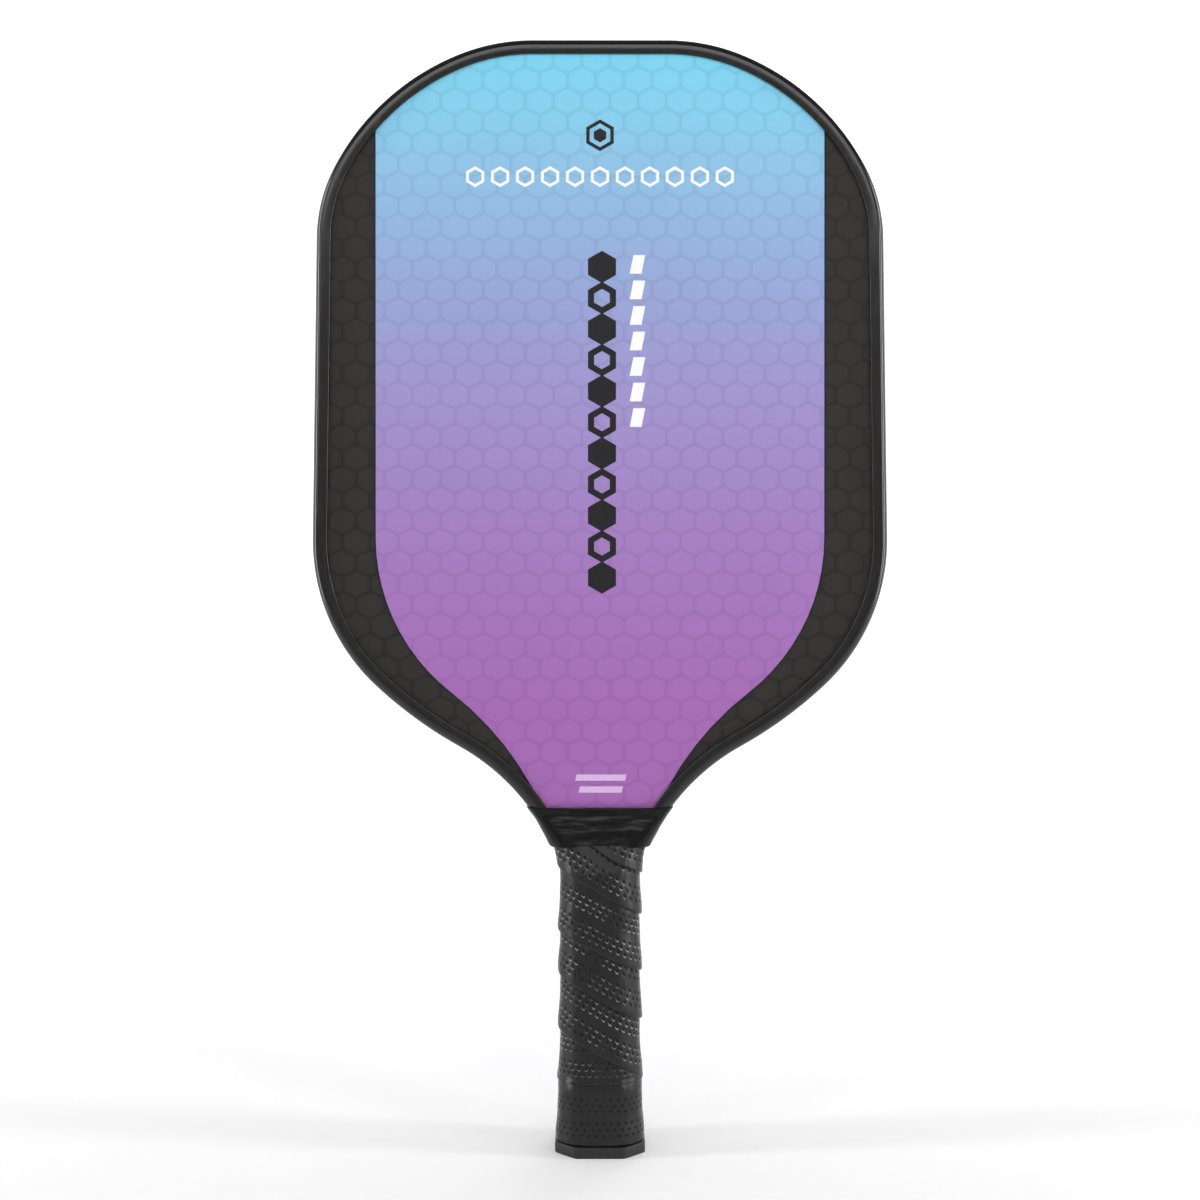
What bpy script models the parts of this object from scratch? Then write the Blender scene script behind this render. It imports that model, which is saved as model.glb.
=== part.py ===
"""Pickleball paddle, modelled as the separate pieces that it is bonded together from.

The paddle stands on its butt cap: +Z runs up the handle to the tip of the head, the front face looks
towards -Y, and +X is to the right as seen from the front. The origin is at the middle of the butt
cap's end face. Bonded pieces keep a small glue gap between them.
"""
import math
from itertools import takewhile

import bmesh
import bpy
import numpy as np
from mathutils import Vector

MM = 0.001
MERGE_DISTANCE = 0.001 * MM

# Overall outline, seen from the front. It is the outer edge of the edge guard.
OVERALL_LENGTH = 392.0 * MM
OVERALL_WIDTH = 203.2 * MM
NECK_END_HEIGHT = 95.7 * MM
TOP_CORNER_RADII = (70.0 * MM, 86.0 * MM, 55.0 * MM)
TOP_CORNER_TURNS = (22.0, 40.0)
SIDE_FLARE = 0.73
SHOULDER_TURN = 47.7
SHOULDER_EASE_TURN = 13.9
SHOULDER_EASE_RATIO = 2.14
NECK_RADIUS = 78.0 * MM
NECK_TURN = 38.4
NECK_BLEND_RADIUS = 22.0 * MM
DEGREES_PER_SEGMENT = 5.0

# Sandwich panel of the head, from the middle plane outwards.
CORE_THICKNESS = 11.0 * MM
FACE_THICKNESS = 0.5 * MM
FILM_THICKNESS = 0.15 * MM
BOND_GAP = 0.3 * MM
PRINT_GAP = 0.1 * MM

# Honeycomb cells of the core, with flat sides facing left and right.
CELL_PITCH = 14.0 * MM
CELL_WALL = 0.8 * MM
CORE_BORDER = 3.0 * MM

# Printed film: a panel with straight sides between two bare side bands.
SIDE_BAND_WIDTH = 22.1 * MM
FILM_NECK_MARGIN = 3.5 * MM
FILM_SHOULDER_TURN = 52.2
FILM_NECK_TURN = 28.5

# Edge guard, a U channel around the head. Its ends are tucked under the throat band.
GUARD_WEB = 1.2 * MM
GUARD_LIP_THICKNESS = 1.0 * MM
GUARD_LIP_REACH = 5.5 * MM
GUARD_SHOULDER_REACH = 3.0 * MM
GUARD_SHOULDER_DROP = 3.4 * MM
GUARD_SHOULDER_SEGMENTS = 4
GUARD_TIP_CHAMFER = 0.45 * MM
GUARD_END_COVER = 4.0 * MM

# Handle: two scales bonded over the core's tang, together an octagon.
HANDLE_WIDTH = 25.2 * MM
HANDLE_BEVEL = 5.2 * MM
SCALE_THICKNESS = 5.5 * MM
SCALE_FULL_HEIGHT = 99.0 * MM
SCALE_TIP_THICKNESS = 0.6 * MM
SCALE_TIP_COVER = 1.7 * MM

# Butt cap: a lipped octagonal cup whose skirt goes up around the handle.
CAP_LIP_PROUD = 0.25 * MM
CAP_LIP_HEIGHT = 4.0 * MM
CAP_LIP_CHAMFER = 0.8 * MM
CAP_FLOOR = 2.2 * MM
CAP_SKIRT_HEIGHT = 24.0 * MM
CAP_SKIRT_WALL = 0.6 * MM

# Grip wrap and the band that finishes it at the throat.
GRIP_THICKNESS = 1.8 * MM
GRIP_TOP_THICKNESS = 0.9 * MM
GRIP_TOP_TAPER = 10.0 * MM
GRIP_STEP_LENGTH = 1.5 * MM
BAND_BOTTOM_HEIGHT = 107.3 * MM
BAND_TOP_HEIGHT = 121.2 * MM
BAND_THICKNESS = 0.4 * MM
BAND_BOTTOM_BEVEL = 3.8 * MM
BAND_TOP_BEVEL = 1.6 * MM
NECK_RING_SPACING = 3.5 * MM

# Colours are linear red, green and blue.
CORE_COLOUR = (0.62, 0.60, 0.52)
FACE_COLOUR = (0.033, 0.029, 0.028)
FILM_COLOUR = (0.33, 0.27, 0.60)
GUARD_COLOUR = (0.006, 0.006, 0.006)
SCALE_COLOUR = (0.30, 0.25, 0.17)
CAP_COLOUR = (0.010, 0.010, 0.010)
GRIP_COLOUR = (0.030, 0.029, 0.029)
BAND_COLOUR = (0.008, 0.008, 0.008)

# Sizes that follow from the ones above.
CORE_INSET = GUARD_WEB + BOND_GAP
CORE_HALF = CORE_THICKNESS / 2
FACE_INNER = CORE_HALF + BOND_GAP
FACE_OUTER = FACE_INNER + FACE_THICKNESS
FILM_INNER = FACE_OUTER + PRINT_GAP
FILM_OUTER = FILM_INNER + FILM_THICKNESS
LIP_INNER = FILM_OUTER + BOND_GAP
LIP_OUTER = LIP_INNER + GUARD_LIP_THICKNESS
SCALE_INNER = FACE_OUTER + BOND_GAP
HANDLE_HALF_DEPTH = SCALE_INNER + SCALE_THICKNESS
TANG_HALF_WIDTH = HANDLE_WIDTH / 2
TANG_BOTTOM = CAP_FLOOR + BOND_GAP
SCALE_TOP = BAND_TOP_HEIGHT - SCALE_TIP_COVER
GUARD_END_HEIGHT = BAND_BOTTOM_HEIGHT + GUARD_END_COVER
FILM_BOTTOM = SCALE_TOP + BOND_GAP
GRIP_BOTTOM = CAP_LIP_HEIGHT + BOND_GAP
GRIP_TOP = BAND_BOTTOM_HEIGHT - BOND_GAP
OCTAGON_OFFSET_RATIO = 2 - math.sqrt(2)


# ---------------------------------------------------------------- outline

def arc_step(radius, heading, turn):
    """Displacement along an arc. Headings run clockwise from +X in degrees, positive turns too."""
    start = math.radians(heading)
    end = math.radians(heading + turn)
    reach = math.copysign(radius, turn)
    return Vector((reach * (math.sin(end) - math.sin(start)), reach * (math.cos(end) - math.cos(start))))


def line_step(length, heading):
    """Displacement along a straight run."""
    angle = math.radians(heading)
    return Vector((length * math.cos(angle), -length * math.sin(angle)))


def outline_moves():
    """Moves around the right half of the outline, from the top middle to the end of the neck.

    The half length of the flat top, the length of the sides and the shoulder radius are solved
    for, so that the outline keeps the overall width and length and ends at the handle's side.
    """
    side_heading = 90 - SIDE_FLARE
    last_top_turn = side_heading - sum(TOP_CORNER_TURNS)
    top_arcs = list(zip(TOP_CORNER_RADII, (*TOP_CORNER_TURNS, last_top_turn)))
    ease_heading = side_heading + SHOULDER_TURN
    neck_heading = ease_heading + SHOULDER_EASE_TURN
    blend_heading = neck_heading - NECK_TURN
    neck_arcs = [(NECK_RADIUS, -NECK_TURN), (NECK_BLEND_RADIUS, 90 - blend_heading)]

    heading = 0.0
    top = Vector((0, 0))
    for radius, turn in top_arcs:
        top += arc_step(radius, heading, turn)
        heading += turn
    heading = neck_heading
    neck = Vector((0, 0))
    for radius, turn in neck_arcs:
        neck += arc_step(radius, heading, turn)
        heading += turn
    side = line_step(1.0, side_heading)
    shoulder = arc_step(1.0, side_heading, SHOULDER_TURN)
    shoulder += arc_step(SHOULDER_EASE_RATIO, ease_heading, SHOULDER_EASE_TURN)
    bulge = 1 - math.sin(math.radians(side_heading))

    neck_half_width = TANG_HALF_WIDTH + CORE_INSET
    unknowns = np.array(((1, side.x, shoulder.x), (0, side.y, shoulder.y), (1, side.x, bulge)))
    wanted = np.array((neck_half_width - top.x - neck.x,
                       NECK_END_HEIGHT - OVERALL_LENGTH - top.y - neck.y,
                       OVERALL_WIDTH / 2 - top.x))
    flat_half, side_length, shoulder_radius = (float(value) for value in np.linalg.solve(unknowns, wanted))
    return [("line", flat_half, 0.0),
            *(("arc", radius, turn) for radius, turn in top_arcs),
            ("line", side_length, 0.0),
            ("arc", shoulder_radius, SHOULDER_TURN),
            ("arc", shoulder_radius * SHOULDER_EASE_RATIO, SHOULDER_EASE_TURN),
            *(("arc", radius, turn) for radius, turn in neck_arcs)]


def trace(place, heading, moves):
    """Stations (x, z, heading) along a chain of moves."""
    stations = [(place.x, place.y, heading)]
    for kind, size, turn in moves:
        if kind == "line":
            place = place + line_step(size, heading)
            stations.append((place.x, place.y, heading))
            continue
        count = math.ceil(abs(turn) / DEGREES_PER_SEGMENT)
        for _ in range(count):
            place = place + arc_step(size, heading, turn / count)
            heading += turn / count
            stations.append((place.x, place.y, heading))
    return stations


# The right half of the outline, from the top middle down.
STATIONS = trace(Vector((0, OVERALL_LENGTH)), 0.0, outline_moves())


def inset_points(distance):
    """Right half of the outline moved inwards by a distance, as (x, z) points."""
    points = []
    for x, z, heading in STATIONS:
        angle = math.radians(heading)
        points.append((x - distance * math.sin(angle), z - distance * math.cos(angle)))
    return points


def neck_half_width(height, distance):
    """Half width of the inset outline at a height in the neck or on the handle."""
    points = inset_points(distance)
    for (x_above, z_above), (x_below, z_below) in zip(points[:-1], points[1:]):
        if x_above > x_below and z_below <= height < z_above:
            share = (height - z_below) / (z_above - z_below)
            return x_below + share * (x_above - x_below)
    return points[-1][0]


def closed_outline(right_side):
    """Closed outline from the points of its right side, listed from the top down."""
    left_side = [(-x, z) for x, z in reversed(right_side) if x > 0]
    return right_side + left_side


def panel_outline(distance):
    """Closed outline of the head and the tang, moved inwards by a distance."""
    right_side = inset_points(distance)
    right_side.append((right_side[-1][0], TANG_BOTTOM + distance - CORE_INSET))
    return closed_outline(right_side)


def cut_at_height(stations, height):
    """Stations above a height, with one more where the path going down crosses it."""
    kept = [station for station in stations if station[1] > height]
    last = kept[-1]
    below = stations[len(kept)]
    share = (last[1] - height) / (last[1] - below[1])
    kept.append(tuple(value + share * (other - value) for value, other in zip(last, below)))
    return kept


def film_outline():
    """Closed outline of the printed film.

    Its sides are straight from the guard down to where the shoulder starts. Two arcs take it from
    there to the throat band, and their radii are solved for so that they end inside the guard.
    """
    edge = inset_points(CORE_INSET)
    half_width = OVERALL_WIDTH / 2 - SIDE_BAND_WIDTH
    right_side = list(takewhile(lambda point: point[0] < half_width, edge))
    (x_last, z_last) = right_side[-1]
    (x_next, z_next) = edge[len(right_side)]
    share = (half_width - x_last) / (x_next - x_last)
    right_side.append((half_width, z_last + share * (z_next - z_last)))

    start = Vector((half_width, max(STATIONS)[1]))
    end = Vector((neck_half_width(FILM_BOTTOM, FILM_NECK_MARGIN), FILM_BOTTOM))
    shoulder = arc_step(1.0, 90, FILM_SHOULDER_TURN)
    neck = arc_step(1.0, 90 + FILM_SHOULDER_TURN, -FILM_NECK_TURN)
    radii = np.linalg.solve(np.array(((shoulder.x, neck.x), (shoulder.y, neck.y))), np.array(end - start))
    moves = [("arc", float(radii[0]), FILM_SHOULDER_TURN), ("arc", float(radii[1]), -FILM_NECK_TURN)]
    return closed_outline(right_side + [(x, z) for x, z, heading in trace(start, 90.0, moves)])


# ---------------------------------------------------------------- mesh tools

def make_object(name, mesh_maker, material):
    """Make the object of one sub-part from a bmesh, and shade its round stretches smooth."""
    bmesh.ops.recalc_face_normals(mesh_maker, faces=mesh_maker.faces)
    mesh = bpy.data.meshes.new(name)
    mesh_maker.to_mesh(mesh)
    mesh_maker.free()
    mesh.shade_smooth()
    mesh.set_sharp_from_angle(angle=math.radians(30))
    mesh.materials.append(material)
    part = bpy.data.objects.new(name, mesh)
    bpy.context.scene.collection.objects.link(part)
    return part


def make_material(name, colour, roughness, metallic=0.0, coat=0.0):
    """Principled material of one sub-part."""
    material = bpy.data.materials.new(name)
    material.use_nodes = True
    shader = material.node_tree.nodes["Principled BSDF"]
    shader.inputs["Base Color"].default_value = (*colour, 1.0)
    shader.inputs["Roughness"].default_value = roughness
    shader.inputs["Metallic"].default_value = metallic
    shader.inputs["Coat Weight"].default_value = coat
    return material


def add_ring(mesh_maker, points):
    """Closed ring of edges through the points."""
    corners = [mesh_maker.verts.new(point) for point in points]
    return [mesh_maker.edges.new((corner, corners[index - 1])) for index, corner in enumerate(corners)]


def extrude_ring(mesh_maker, corners, points):
    """Extrude a ring of corners to new points, and return the new corners in the same order."""
    rim = [mesh_maker.edges.get((corner, corners[index - 1])) for index, corner in enumerate(corners)]
    grown = bmesh.ops.extrude_edge_only(mesh_maker, edges=rim)
    fresh = {item for item in grown["geom"] if isinstance(item, bmesh.types.BMVert)}
    following = []
    for corner, point in zip(corners, points):
        reached = [edge.other_vert(corner) for edge in corner.link_edges]
        moved = next(vertex for vertex in reached if vertex in fresh)
        moved.co = point
        following.append(moved)
    return following


def skin_rings(rings, join_ends=False):
    """Closed body through rings of points, with its two ends capped or joined."""
    mesh_maker = bmesh.new()
    rim = add_ring(mesh_maker, rings[0])
    corners = list(mesh_maker.verts)
    if not join_ends:
        bmesh.ops.contextual_create(mesh_maker, geom=rim)
    for ring in rings[1:]:
        corners = extrude_ring(mesh_maker, corners, ring)
    if join_ends:
        extrude_ring(mesh_maker, corners, rings[0])
        bmesh.ops.remove_doubles(mesh_maker, verts=mesh_maker.verts, dist=MERGE_DISTANCE)
    else:
        mesh_maker.faces.new(corners)
    return mesh_maker


def sheet_body(loops, inner, outer):
    """Flat body between two Y planes. The first loop of (x, z) points is its edge, the rest are holes."""
    mesh_maker = bmesh.new()
    edges = []
    for loop in loops:
        edges += add_ring(mesh_maker, [(x, inner, z) for x, z in loop])
    if len(loops) == 1:
        bmesh.ops.contextual_create(mesh_maker, geom=edges)
    else:
        bmesh.ops.triangle_fill(mesh_maker, edges=edges, use_beauty=True)
    grown = bmesh.ops.extrude_face_region(mesh_maker, geom=list(mesh_maker.faces), use_keep_orig=True)
    raised = [item for item in grown["geom"] if isinstance(item, bmesh.types.BMVert)]
    bmesh.ops.translate(mesh_maker, verts=raised, vec=(0, outer - inner, 0))
    return mesh_maker


def octagon_ring(half_width, half_depth, bevel, height):
    """Level octagon with equal 45 degree bevels."""
    quarter = [(half_width, half_depth - bevel), (half_width - bevel, half_depth)]
    front = quarter + [(-x, y) for x, y in reversed(quarter)]
    return [(x, y, height) for x, y in front + [(-x, -y) for x, y in front]]


def grown_octagon(station, growth):
    """Octagon ring of a (half width, half depth, bevel, height) station, grown by a wall."""
    half_width, half_depth, bevel, height = station
    grown_bevel = bevel + growth * OCTAGON_OFFSET_RATIO
    return octagon_ring(half_width + growth, half_depth + growth, grown_bevel, height)


# ---------------------------------------------------------------- sub-parts

def cell_outline(x, z):
    """Hexagonal hole of one core cell, a corner up."""
    radius = (CELL_PITCH - CELL_WALL) / math.sqrt(3)
    angles = [math.radians(60 * index + 30) for index in range(6)]
    return [(x + radius * math.cos(angle), z + radius * math.sin(angle)) for angle in angles]


def is_inside(point, outline):
    """Whether a point is inside a closed outline."""
    x, z = point
    inside = False
    for (x_start, z_start), (x_end, z_end) in zip(outline, outline[1:] + outline[:1]):
        if (z_start > z) != (z_end > z):
            crossing = x_start + (z - z_start) / (z_end - z_start) * (x_end - x_start)
            inside = inside != (x < crossing)
    return inside


def core_cells():
    """Holes of every whole cell that fits inside the core's border."""
    limit = panel_outline(CORE_INSET + CORE_BORDER)
    row_pitch = CELL_PITCH * math.sqrt(3) / 2
    rows = math.ceil(OVERALL_LENGTH / row_pitch)
    columns = math.ceil(OVERALL_WIDTH / CELL_PITCH)
    cells = []
    for row in range(rows):
        for column in range(-columns, columns + 1):
            x = (column + 0.5 * (row % 2)) * CELL_PITCH
            cell = cell_outline(x, row * row_pitch)
            if all(is_inside(corner, limit) for corner in cell):
                cells.append(cell)
    return cells


def build_core():
    """Honeycomb panel of the head with the tang that goes down inside the handle."""
    material = make_material("core_polymer", CORE_COLOUR, 0.55)
    body = sheet_body([panel_outline(CORE_INSET), *core_cells()], -CORE_HALF, CORE_HALF)
    make_object("honeycomb_core", body, material)


def build_face_sheets():
    """Stiff skins on the two sides of the core."""
    material = make_material("face_composite", FACE_COLOUR, 0.45)
    for name, side in (("front_face_sheet", -1), ("back_face_sheet", 1)):
        body = sheet_body([panel_outline(CORE_INSET)], side * FACE_INNER, side * FACE_OUTER)
        make_object(name, body, material)


def build_graphic_films():
    """Printed films bonded on the two face sheets."""
    material = make_material("film_print", FILM_COLOUR, 0.5)
    for name, side in (("front_graphic_film", -1), ("back_graphic_film", 1)):
        body = sheet_body([film_outline()], side * FILM_INNER, side * FILM_OUTER)
        make_object(name, body, material)


def guard_profile():
    """Closed U section of the guard as (distance inwards, y) points."""
    half = []
    for index in range(GUARD_SHOULDER_SEGMENTS + 1):
        angle = math.radians(90 * index / GUARD_SHOULDER_SEGMENTS)
        inwards = GUARD_SHOULDER_REACH * (1 - math.cos(angle))
        half.append((inwards, LIP_OUTER - GUARD_SHOULDER_DROP * (1 - math.sin(angle))))
    half.append((GUARD_LIP_REACH - GUARD_TIP_CHAMFER, LIP_OUTER))
    half.append((GUARD_LIP_REACH, LIP_OUTER - GUARD_TIP_CHAMFER))
    half.append((GUARD_LIP_REACH, LIP_INNER))
    half.append((GUARD_WEB, LIP_INNER))
    return half + [(inwards, -y) for inwards, y in reversed(half)]


def build_edge_guard():
    """One strip from the throat, over the head, to the other side of the throat."""
    material = make_material("guard_plastic", GUARD_COLOUR, 0.18)
    profile = guard_profile()
    right = cut_at_height(STATIONS, GUARD_END_HEIGHT)
    sections = []
    for side, stations in ((-1, list(reversed(right[1:]))), (1, right)):
        for x, z, heading in stations:
            angle = math.radians(heading)
            sections.append([(side * (x - inwards * math.sin(angle)), y, z - inwards * math.cos(angle))
                             for inwards, y in profile])
    make_object("edge_guard", skin_rings(sections), material)


def scale_depth(height):
    """Distance of a scale's outer flat from the middle plane: full depth, then a ramp to its tip."""
    tip = SCALE_INNER + SCALE_TIP_THICKNESS
    share = (height - SCALE_FULL_HEIGHT) / (SCALE_TOP - SCALE_FULL_HEIGHT)
    return HANDLE_HALF_DEPTH + min(max(share, 0.0), 1.0) * (tip - HANDLE_HALF_DEPTH)


def scale_section(height, side):
    """Section of a scale: flat against the face sheet, bevelled outside."""
    outer = scale_depth(height)
    bevel_start = min(HANDLE_HALF_DEPTH - HANDLE_BEVEL, outer)
    bevel_end = TANG_HALF_WIDTH - (outer - bevel_start)
    half = [(TANG_HALF_WIDTH, SCALE_INNER), (TANG_HALF_WIDTH, bevel_start), (bevel_end, outer)]
    whole = half + [(-x, y) for x, y in reversed(half)]
    return [(x, side * y, height) for x, y in whole]


def build_handle_scales():
    """Blocks that fill the handle out to an octagon and ramp down to the head."""
    material = make_material("scale_foam", SCALE_COLOUR, 0.8)
    for name, side in (("handle_scale_front", -1), ("handle_scale_back", 1)):
        heights = (TANG_BOTTOM, SCALE_FULL_HEIGHT, SCALE_TOP)
        body = skin_rings([scale_section(height, side) for height in heights])
        make_object(name, body, material)


def handle_station(height):
    """Octagon (half width, half depth, bevel, height) of the bare handle and neck."""
    share = (height - NECK_END_HEIGHT) / (BAND_BOTTOM_HEIGHT - NECK_END_HEIGHT)
    share = min(max(share, 0.0), 1.0)
    bevel = HANDLE_BEVEL + share * (BAND_BOTTOM_BEVEL - HANDLE_BEVEL)
    return (neck_half_width(height, CORE_INSET), scale_depth(height), bevel, height)


def build_butt_cap():
    """Lipped cup over the lower end of the handle."""
    material = make_material("cap_plastic", CAP_COLOUR, 0.5)
    bare = (TANG_HALF_WIDTH, HANDLE_HALF_DEPTH, HANDLE_BEVEL)
    skirt_growth = BOND_GAP + CAP_SKIRT_WALL
    lip_growth = skirt_growth + BOND_GAP + GRIP_THICKNESS + CAP_LIP_PROUD
    rings = [grown_octagon((*bare, 0.0), lip_growth - CAP_LIP_CHAMFER),
             grown_octagon((*bare, CAP_LIP_CHAMFER), lip_growth),
             grown_octagon((*bare, CAP_LIP_HEIGHT - CAP_LIP_CHAMFER), lip_growth),
             grown_octagon((*bare, CAP_LIP_HEIGHT), lip_growth - CAP_LIP_CHAMFER),
             grown_octagon((*bare, CAP_LIP_HEIGHT), skirt_growth),
             grown_octagon((*bare, CAP_SKIRT_HEIGHT), skirt_growth),
             grown_octagon((*bare, CAP_SKIRT_HEIGHT), BOND_GAP),
             grown_octagon((*bare, CAP_FLOOR), BOND_GAP)]
    make_object("butt_cap", skin_rings(rings), material)


def neck_heights(bottom, top):
    """Evenly spaced heights from one to the other, close enough to follow the neck."""
    count = math.ceil((top - bottom) / NECK_RING_SPACING)
    return [bottom + (top - bottom) * index / count for index in range(count + 1)]


def build_grip_wrap():
    """Wrapped grip as one octagonal sleeve: over the cap's skirt, the handle and the neck's start."""
    material = make_material("grip_cushion", GRIP_COLOUR, 0.5)
    step_height = CAP_SKIRT_HEIGHT + BOND_GAP
    over_skirt = 2 * BOND_GAP + CAP_SKIRT_WALL
    layers = [(GRIP_BOTTOM, over_skirt), (step_height, over_skirt)]
    layers.append((step_height + GRIP_STEP_LENGTH, BOND_GAP))
    layers += [(height, BOND_GAP) for height in neck_heights(NECK_END_HEIGHT, GRIP_TOP)]
    inner = []
    outer = []
    for height, clearance in layers:
        share = min((GRIP_TOP - height) / GRIP_TOP_TAPER, 1.0)
        thickness = GRIP_TOP_THICKNESS + share * (GRIP_THICKNESS - GRIP_TOP_THICKNESS)
        station = handle_station(height)
        inner.append(grown_octagon(station, clearance))
        outer.append(grown_octagon(station, clearance + thickness))
    make_object("grip_wrap", skin_rings(inner + outer[::-1], join_ends=True), material)


def band_ring(height, growth):
    """Octagon of the band at a height, clear of the guard and of the scales by a growth."""
    share = (height - BAND_BOTTOM_HEIGHT) / (BAND_TOP_HEIGHT - BAND_BOTTOM_HEIGHT)
    bevel = BAND_BOTTOM_BEVEL + share * (BAND_TOP_BEVEL - BAND_BOTTOM_BEVEL)
    half_width = neck_half_width(height, -growth)
    half_depth = max(LIP_OUTER, scale_depth(height)) + growth
    return octagon_ring(half_width, half_depth, bevel + growth * OCTAGON_OFFSET_RATIO, height)


def build_throat_band():
    """Band around the throat that hides the guard's ends and the top of the grip."""
    material = make_material("band_vinyl", BAND_COLOUR, 0.2)
    heights = neck_heights(BAND_BOTTOM_HEIGHT, BAND_TOP_HEIGHT)
    inner = [band_ring(height, BOND_GAP) for height in heights]
    outer = [band_ring(height, BOND_GAP + BAND_THICKNESS) for height in heights]
    make_object("throat_band", skin_rings(inner + outer[::-1], join_ends=True), material)


def main():
    """Clear the scene and build every sub-part."""
    for leftover in list(bpy.data.objects):
        bpy.data.objects.remove(leftover, do_unlink=True)
    build_core()
    build_face_sheets()
    build_graphic_films()
    build_edge_guard()
    build_handle_scales()
    build_butt_cap()
    build_grip_wrap()
    build_throat_band()


main()
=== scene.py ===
"""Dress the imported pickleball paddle: printed faces, glossy guard, throat band and spiral grip.

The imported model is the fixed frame. +Z runs up the handle, the front face looks towards -Y and +X is to
the right as seen from the front. All sizes are in metres.
"""
import logging
from dataclasses import dataclass, field
from enum import Enum
from math import atan, ceil, copysign, cos, exp, pi, radians, sin, sqrt, tau
from typing import Any, Sequence

import bmesh
import bpy
import numpy as np
from bmesh.types import BMEdge, BMesh, BMVert
from bpy.types import Material, Object
from mathutils import Matrix, Vector, noise


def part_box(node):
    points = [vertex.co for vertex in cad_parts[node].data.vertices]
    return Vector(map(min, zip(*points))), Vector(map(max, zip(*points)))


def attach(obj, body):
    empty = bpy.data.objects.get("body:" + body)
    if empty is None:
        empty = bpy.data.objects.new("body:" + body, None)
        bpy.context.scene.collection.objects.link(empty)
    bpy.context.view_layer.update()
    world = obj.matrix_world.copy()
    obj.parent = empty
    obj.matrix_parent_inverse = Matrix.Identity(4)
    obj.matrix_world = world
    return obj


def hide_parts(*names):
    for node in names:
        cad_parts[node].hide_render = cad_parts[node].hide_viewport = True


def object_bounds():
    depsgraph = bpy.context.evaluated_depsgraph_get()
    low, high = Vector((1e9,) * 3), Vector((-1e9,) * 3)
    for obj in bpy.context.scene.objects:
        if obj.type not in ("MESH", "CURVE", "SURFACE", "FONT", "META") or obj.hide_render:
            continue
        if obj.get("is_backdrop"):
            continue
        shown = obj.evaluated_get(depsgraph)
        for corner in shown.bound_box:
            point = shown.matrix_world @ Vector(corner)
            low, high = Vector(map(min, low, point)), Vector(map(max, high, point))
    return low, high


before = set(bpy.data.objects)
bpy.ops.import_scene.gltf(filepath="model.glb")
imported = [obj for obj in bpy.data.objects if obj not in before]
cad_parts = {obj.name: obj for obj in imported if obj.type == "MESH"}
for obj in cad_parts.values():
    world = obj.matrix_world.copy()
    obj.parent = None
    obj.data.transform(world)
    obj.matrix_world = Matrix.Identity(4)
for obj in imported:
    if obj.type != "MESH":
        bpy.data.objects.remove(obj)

MM = 0.001
BODY = "root"
log = logging.getLogger("paddle")

Colour = tuple[float, float, float]
Point = tuple[float, float]


class Side(Enum):
    """A face of the paddle, with the sign of its Y direction."""

    FRONT = -1
    BACK = 1


def srgb(*values: int) -> Colour:
    """Linear colour of red, green and blue display values from 0 to 255."""
    shares = [value / 255 for value in values]
    return tuple(share / 12.92 if share <= 0.04045 else ((share + 0.055) / 1.055) ** 2.4
                 for share in shares)


# Shader arithmetic

class Signal:
    """A number in a shader. Python arithmetic on it adds Math nodes."""

    def __init__(self, sketch: "Sketch", socket: bpy.types.NodeSocket) -> None:
        """Wrap an output socket of a sketch."""
        self.sketch = sketch
        self.socket = socket

    def __add__(self, other: "Signal | float") -> "Signal":
        """Sum."""
        return self.sketch.math("ADD", self, other)

    __radd__ = __add__

    def __sub__(self, other: "Signal | float") -> "Signal":
        """Difference."""
        return self.sketch.math("SUBTRACT", self, other)

    def __rsub__(self, other: "Signal | float") -> "Signal":
        """Difference with the operands in the other order."""
        return self.sketch.math("SUBTRACT", other, self)

    def __mul__(self, other: "Signal | float") -> "Signal":
        """Product."""
        return self.sketch.math("MULTIPLY", self, other)

    __rmul__ = __mul__

    def __truediv__(self, other: "Signal | float") -> "Signal":
        """Quotient."""
        return self.sketch.math("DIVIDE", self, other)

    def __abs__(self) -> "Signal":
        """Distance from zero."""
        return self.sketch.math("ABSOLUTE", self)


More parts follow.
